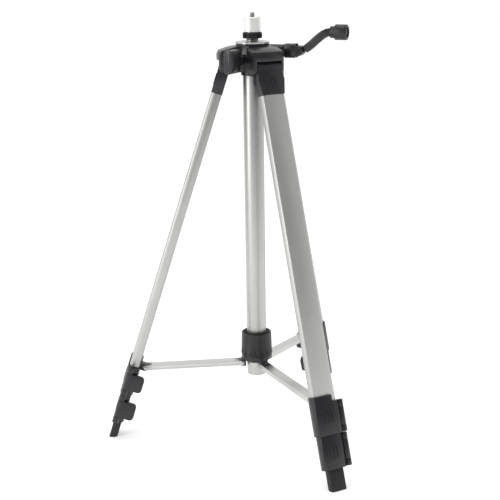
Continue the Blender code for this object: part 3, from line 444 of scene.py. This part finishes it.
def turned(profile, sides):
    """Spin a closed profile of (radius, height) points about z, starting from a plane's centre.

    A profile that starts on the axis ends on it; one that starts off the axis is closed here.
    """
    if profile[0][0] > 0:
        profile = profile + profile[:1]
    deselect()
    bpy.ops.mesh.primitive_plane_add(size=0.001, location=(0, 0, 0))
    piece = bpy.context.object
    bpy.ops.object.mode_set(mode="EDIT")
    bpy.ops.mesh.select_mode(type="VERT")
    bpy.ops.mesh.select_all(action="SELECT")
    bpy.ops.mesh.merge(type="CENTER")
    here = Vector((profile[0][0], 0, profile[0][1]))
    bpy.ops.transform.translate(value=here)
    for radius, height in profile[1:]:
        there = Vector((radius, 0, height))
        bpy.ops.mesh.extrude_region_move(TRANSFORM_OT_translate={"value": there - here})
        here = there
    bpy.ops.mesh.select_all(action="SELECT")
    bpy.ops.mesh.spin(steps=sides, angle=2 * math.pi, center=(0, 0, 0), axis=(0, 0, 1))
    bpy.ops.mesh.select_all(action="SELECT")
    bpy.ops.mesh.remove_doubles(threshold=0.000002)
    bpy.ops.mesh.delete_loose(use_verts=True, use_edges=True, use_faces=False)
    bpy.ops.mesh.normals_make_consistent(inside=False)
    bpy.ops.object.mode_set(mode="OBJECT")
    return piece


def carve(piece, cutters):
    """Cut each cutter in turn out of a piece with an applied Boolean modifier."""
    for cutter in cutters:
        select_only(piece)
        step = piece.modifiers.new("carve", "BOOLEAN")
        step.operation = "DIFFERENCE"
        step.object = cutter
        bpy.ops.object.modifier_apply(modifier=step.name)
        bpy.data.objects.remove(cutter)


def axis_placement(point, direction):
    """Give a placement with its origin at a point and its z axis along a direction."""
    turn = Vector(direction).to_track_quat("Z", "Y").to_matrix().to_4x4()
    return Matrix.Translation(point) @ turn


# ---------------------------------------------------------------- top: thread, ring, adapter

COLUMN = Vector(joints["lock_ring_turn"]["pos_m"])


def node_ring(node):
    """Give a round upright node's outer radius, bottom and top."""
    low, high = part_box(node)
    return (high[0] - low[0]) / 2, low[2], high[2]


def threaded_profile(radius, bottom, top, pitch, lead):
    """Give a turned profile with thread ridges between a plain lead at both ends."""
    depth = pitch * THREAD_DEPTH_SHARE
    core = radius - depth
    points = [(0, bottom), (core, bottom), (core, bottom + lead)]
    count = int((top - bottom - 2 * lead) / pitch)
    for ridge in range(count):
        start = bottom + lead + ridge * pitch
        points += [(radius, start + RIDGE_CREST * pitch), (radius, start + RIDGE_LEAVE * pitch)]
        points.append((core, start + RIDGE_FOOT * pitch))
    points += [(core, top - lead * 0.5), (core - depth, top), (0, top)]
    return points


def add_threads():
    """Make the 5/8 in post and the 1/4 in stud with their thread ridges."""
    for node, pitch, lead in (("threaded_post", POST_THREAD_PITCH, 0.4 * MM),
                              ("adapter_stud", STUD_THREAD_PITCH, 0.3 * MM)):
        radius, bottom, top = node_ring(node)
        piece = turned(threaded_profile(radius, bottom, top, pitch, lead), THREAD_SIDES)
        settle(piece, Matrix.Translation((COLUMN.x, COLUMN.y, 0)))
        smooth(piece, 50)
        finish_piece(piece, f"{node}_cut", turned_steel, body_of_node[node], slot_of_node[node],
                     node)


def add_adapter():
    """Make the adapter: a satin cylinder with two fine grooves, a rim and a shallow seat."""
    radius, bottom, top = node_ring("laser_adapter")
    edge = ADAPTER_EDGE
    groove = ADAPTER_GROOVE
    roof = top - ADAPTER_ROOF
    seat = top - ADAPTER_SEAT
    bore = node_ring("threaded_post")[0] + CLEARANCE
    hole = node_ring("adapter_stud")[0] + CLEARANCE
    profile = [(bore, bottom), (radius - edge, bottom), (radius, bottom + edge)]
    for height in (bottom + ADAPTER_GROOVE_LOW, top - ADAPTER_GROOVE_HIGH):
        profile += [(radius, height - groove), (radius - groove, height), (radius, height + groove)]
    profile += [(radius, top - edge), (radius - edge, top), (hole + edge, top), (hole, top - edge)]
    profile += [(hole, seat), (0, seat), (0, roof), (bore, roof)]
    piece = turned(profile, TURNED_SIDES)
    settle(piece, Matrix.Translation((COLUMN.x, COLUMN.y, 0)))
    smooth(piece)
    finish_piece(piece, "adapter_turned", pale_alloy, "elevator", "pale_alloy", "laser_adapter")


def add_lock_ring():
    """Make the knurled lock ring: a band of raised ribs between two plain rims."""
    radius, bottom, top = node_ring("lock_ring")
    bore = node_ring("threaded_post")[0] + CLEARANCE
    inner = radius - RING_EDGE
    profile = [(bore, bottom), (inner, bottom), (radius, bottom + RING_EDGE)]
    profile += [(radius, bottom + RING_RIM), (radius, top - RING_RIM)]
    profile += [(radius, top - RING_EDGE), (inner, top), (bore, top)]
    ring = turned(profile, LOCK_RING_GROOVES * 2)
    groove_faces(ring, (bottom + top) / 2, RING_BAND * (top - bottom), radius, RING_GROOVE_DEPTH)
    settle(ring, Matrix.Translation((COLUMN.x, COLUMN.y, 0)))
    smooth(ring, 30)
    finish_piece(ring, "lock_ring_knurled", black_grip_and_recess_shade, "lock_ring", "black_moulding", "lock_ring")


def groove_faces(piece, middle, half_height, radius, depth):
    """Sink every second outer face of a band around z into a groove."""
    select_only(piece)
    outer = []
    for face in piece.data.polygons:
        centre = face.center
        face.select = False
        level = abs(centre.z - middle) < half_height
        if level and math.hypot(centre.x, centre.y) > 0.9 * radius:
            outer.append((math.atan2(centre.y, centre.x), face.index))
    for step, (_, index) in enumerate(sorted(outer)):
        piece.data.polygons[index].select = step % 2 == 0
    bpy.ops.object.mode_set(mode="EDIT")
    bpy.ops.mesh.select_mode(type="FACE")
    bpy.ops.mesh.inset(thickness=0.0002, depth=-depth, use_individual=True)
    bpy.ops.object.mode_set(mode="OBJECT")


def add_platform():
    """Make the platform disc with its turned rim."""
    radius, bottom, top = node_ring("platform_disc")
    edge = PLATFORM_EDGE
    floor = top - PLATFORM_GROOVE_DEPTH
    outer, outer_floor, inner_floor, inner = (radius * share for share in PLATFORM_GROOVE)
    profile = [(0, bottom), (radius - edge, bottom), (radius, bottom + edge), (radius, top - edge)]
    profile += [(radius - edge, top), (outer, top), (outer_floor, floor), (inner_floor, floor)]
    profile += [(inner, top), (0, top)]
    disc = turned(profile, TURNED_SIDES)
    settle(disc, Matrix.Translation((COLUMN.x, COLUMN.y, 0)))
    smooth(disc)
    finish_piece(disc, "platform_turned", turned_steel, "elevator", "bright_steel",
                 "platform_disc")


# ---------------------------------------------------------------- spreader collar

def add_spreader_collar():
    """Make the grip collar: a tapered cup with rounded flutes, a rim band and a funnel mouth."""
    low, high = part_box("spreader_collar")
    foot = (high[0] - low[0]) / 2
    bottom, top = low[2], high[2]
    mouth = foot * COLLAR_MOUTH_SHARE
    head = foot * COLLAR_HEAD_SHARE
    bore = node_ring("column_tube")[0] + COLLAR_PLAY
    edge = COLLAR_EDGE
    profile = [(bore, bottom), (foot - edge, bottom), (foot, bottom + edge)]
    profile += [(foot * share, bottom + height) for share, height in COLLAR_BAND]
    profile += [(head, top - COLLAR_RIM), (head, top - edge), (head - edge, top)]
    profile += [(mouth, top), (mouth - edge, top - edge), (bore + MM, top - COLLAR_FUNNEL + MM)]
    profile.append((bore, top - COLLAR_FUNNEL))
    collar = turned(profile, COLLAR_SIDES)
    flute = FLUTE_RADIUS
    cutters = []
    for number in range(COLLAR_FLUTES):
        turn = 2 * math.pi * number / COLLAR_FLUTES
        deselect()
        bpy.ops.mesh.primitive_cone_add(vertices=20, radius1=flute, radius2=flute * FLUTE_TAPER,
                                        depth=(top - bottom) * FLUTE_LENGTH_SHARE)
        cutter = bpy.context.object
        reach = foot + flute * FLUTE_OUT
        middle = (top + bottom) / 2 - FLUTE_DROP
        cutter.location = (reach * math.cos(turn), reach * math.sin(turn), middle)
        cutter.rotation_euler = (0, 0, turn)
        cutters.append(cutter)
    carve(collar, cutters)
    settle(collar, Matrix.Translation((COLUMN.x, COLUMN.y, 0)))
    smooth(collar, 30)
    finish_piece(collar, "spreader_collar_fluted", black_grip_and_recess_shade, "grip_collar", "black_moulding",
                 "spreader_collar")


# ---------------------------------------------------------------- rivets and pins

def add_rivet(node, joint, radius, head, across, material):
    """Make a rivet with domed heads along an axis."""
    low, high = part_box(node)
    middle = (Vector(low) + Vector(high)) / 2
    half = across / 2
    profile = [(0, -half)]
    for step in range(RIVET_DOME_STEPS):
        turn = math.pi / 2 * (step + 1) / RIVET_DOME_STEPS
        profile.append((head * math.sin(turn), -half + RIVET_DOME * (1 - math.cos(turn))))
    profile.append((radius, -half + RIVET_DOME))
    profile += [(reach, -height) for reach, height in reversed(profile)]
    pin = turned(profile, PIN_SIDES)
    settle(pin, axis_placement(middle, joint["axis"]))
    smooth(pin)
    finish_piece(pin, f"{node}_domed", material, body_of_node[node], slot_of_node[node], node)


def add_rivets():
    """Make all the domed rivets of the hinges and the struts."""
    for number in (1, 2, 3):
        swing = joints[f"strut_{number}_swing"]
        add_rivet(f"leg_pin_{number}", swing, *HINGE_RIVET, black_moulding)
        add_rivet(f"hub_pin_{number}", swing, *STRUT_RIVET, plated_steel)
        add_rivet(f"strut_pin_{number}", swing, *STRUT_RIVET, plated_steel)


# ---------------------------------------------------------------- moulded ribs

def add_rib(name, placement, length, width, proud, body):
    """Make one slim rib, tapered to a point at its lower end, on a face of a moulding."""
    deselect()
    bpy.ops.mesh.primitive_cube_add(size=1.0)
    rib = bpy.context.object
    rib.scale = (proud * 2, width, length)
    bpy.ops.object.transform_apply(location=False, rotation=False, scale=True)
    for vertex in rib.data.vertices:
        if vertex.co.z < 0:
            vertex.co.y *= RIB_FOOT_SHARE
        if vertex.co.x > 0:
            vertex.co.y *= RIB_CREST_SHARE
    bevel(rib, proud * 0.4, 2)
    smooth(rib)
    settle(rib, placement)
    return finish_piece(rib, name, black_moulding, body, "black_moulding")


def add_fan_ribs(number, part, face, along, length, body):
    """Make three ribs that fan out on the outer face of a leg's moulding."""
    for index, (side, lean) in enumerate(FAN, 1):
        centre = Matrix.Translation((face, side * MM, -along))
        turn = Matrix.Rotation(math.radians(lean), 4, "X")
        placement = LEG_FRAMES[number] @ centre @ turn
        add_rib(f"{part}_rib_{number}_{index}", placement, length, FAN_RIB_WIDTH,
                FAN_RIB_PROUD, body)


def add_all_ribs():
    """Put the fan ribs on the yokes and the locks."""
    for number in (1, 2, 3):
        add_fan_ribs(number, "yoke", YOKE_FACE, YOKE_RIB_ALONG, YOKE_RIB_LENGTH,
                     f"leg_{number}")
        add_fan_ribs(number, "upper_lock", UPPER_LOCK_FACE, UPPER_LOCK_RIB_ALONG,
                     UPPER_LOCK_RIB_LENGTH, f"leg_{number}")
        add_fan_ribs(number, "lower_lock", LOWER_LOCK_FACE, LOWER_LOCK_RIB_ALONG,
                     LOWER_LOCK_RIB_LENGTH, f"middle_{number}")


def add_paddle_ridges():
    """Put upright ridges on the end of the column lock's paddle."""
    turn = joints["column_lock_turn"]
    axis = Vector(turn["axis"]).normalized()
    centre = Vector(turn["pos_m"])
    across = Vector((0, 0, 1)).cross(axis).normalized()
    basis = Matrix((axis, across, Vector((0, 0, 1)))).transposed().to_4x4()
    for index in range(PADDLE_RIDGES):
        side = (index - (PADDLE_RIDGES - 1) / 2) * PADDLE_RIDGE_STEP
        spot = Matrix.Translation(centre + axis * PADDLE_END + across * side)
        add_rib(f"paddle_ridge_{index + 1}", spot @ basis, *PADDLE_RIDGE_SIZE, "column_lock")


# ---------------------------------------------------------------- all pieces

BEVELS = {
    "head_body": 0.9, "column_collar": 0.5, "column_tube": 0.15, "elevating_tube": 0.15,
    "gear_rack": 0.0, "crank_shaft": 0.0, "crank_hub": 0.9, "crank_arm": 1.2,
    "crank_knob": 0.5, "crank_knob_screw": 0.3, "crank_pin": 0.2, "column_lock_knob": 1.0,
    "spreader_hub": 0.4, "strut": 0.25, "leg_yoke": 1.1, "upper_tube": 0.12,
    "upper_lock": 0.45, "upper_lever": 0.9, "middle_tube": 0.12, "lower_lock": 0.45,
    "lower_lever": 0.9, "lower_tube": 0.12, "foot": 0.8}


def add_refined():
    """Refine every CAD node that no finer piece stands for."""
    for node in sorted(frame["nodes"]):
        base, _, number = node.rpartition("_")
        name = base if number in ("1", "2", "3") else node
        if name in BEVELS:
            refined(node, BEVELS[name] * MM)


# ---------------------------------------------------------------- studio

def backdrop_material():
    """Make the pale floor's finish, with the faintest unevenness."""
    made = bpy.data.materials.new("pale_paper")
    made.use_nodes = True
    nodes, links = made.node_tree.nodes, made.node_tree.links
    shader = nodes["Principled BSDF"]
    shader.inputs["Roughness"].default_value = 0.85
    noise = nodes.new("ShaderNodeTexNoise")
    noise.inputs["Scale"].default_value = 3.0
    ramp = nodes.new("ShaderNodeValToRGB")
    ramp.color_ramp.elements[0].color = (0.90, 0.90, 0.90, 1)
    ramp.color_ramp.elements[1].color = (0.93, 0.93, 0.93, 1)
    links.new(ramp.outputs["Color"], shader.inputs["Emission Color"])
    shader.inputs["Emission Strength"].default_value = 0.42
    links.new(noise.outputs["Fac"], ramp.inputs["Fac"])
    links.new(ramp.outputs["Color"], shader.inputs["Base Color"])
    return made


def add_floor():
    """Make the wide pale floor that the feet stand on."""
    deselect()
    bpy.ops.mesh.primitive_plane_add(size=14.0, location=(0, 0, -0.0002))
    floor = bpy.context.object
    floor.name = "studio_floor"
    floor.data.materials.append(backdrop_material())


def add_light(name, place, aim, size, power):
    """Add a soft rectangular light that points at a spot."""
    data = bpy.data.lights.new(name, "AREA")
    data.shape = "RECTANGLE"
    data.size, data.size_y = size
    data.energy = power
    light = bpy.data.objects.new(name, data)
    bpy.context.scene.collection.objects.link(light)
    light.location = place
    light.rotation_euler = (Vector(aim) - Vector(place)).to_track_quat("-Z", "Y").to_euler()


def add_studio():
    """Light the tripod softly from both sides and above, in a bright plain room."""
    bpy.context.scene.view_settings.view_transform = "Standard"
    world = bpy.data.worlds.new("studio_room")
    bpy.context.scene.world = world
    world.use_nodes = True
    nodes, links = world.node_tree.nodes, world.node_tree.links
    side = nodes.new("ShaderNodeVectorMath")
    side.operation = "DOT_PRODUCT"
    side.inputs[1].default_value = BRIGHT_SIDE
    wall = nodes.new("ShaderNodeMapRange")
    for label, value in ROOM_WALL.items():
        wall.inputs[label].default_value = value
    links.new(nodes.new("ShaderNodeTexCoord").outputs["Generated"], side.inputs[0])
    links.new(side.outputs["Value"], wall.inputs["Value"])
    links.new(wall.outputs["Result"], nodes["Background"].inputs["Strength"])
    nodes["Background"].inputs["Color"].default_value = (1, 1, 1, 1)
    aim = (COLUMN.x, COLUMN.y, 0.28)
    add_light("left_key", (-1.5, -0.9, 0.9), aim, (0.35, 1.6), 11.0)
    add_light("right_fill", (1.6, -0.3, 0.9), aim, (0.3, 1.4), 0.8)
    add_light("top_soft", (0.1, 0.3, 2.0), aim, (1.2, 1.2), 6.0)


def add_camera():
    """Place the camera in front of the front leg, a little above the head."""
    data = bpy.data.cameras.new("view")
    data.lens = CAMERA_LENS
    data.sensor_width = 36.0
    camera = bpy.data.objects.new("view", data)
    bpy.context.scene.collection.objects.link(camera)
    level = Matrix.Rotation(CAMERA_TURN, 4, "Z")
    tip = Matrix.Rotation(math.pi / 2 - CAMERA_DOWN, 4, "X")
    roll = Matrix.Rotation(CAMERA_ROLL, 4, "Z")
    place = Matrix.Translation(Vector((COLUMN.x, COLUMN.y, 0)) + CAMERA_FROM_COLUMN)
    camera.matrix_world = place @ level @ tip @ roll
    bpy.context.scene.camera = camera


add_refined()
add_threads()
add_adapter()
add_lock_ring()
add_platform()
add_spreader_collar()
add_rivets()
add_all_ribs()
add_paddle_ridges()
add_floor()
add_studio()
add_camera()
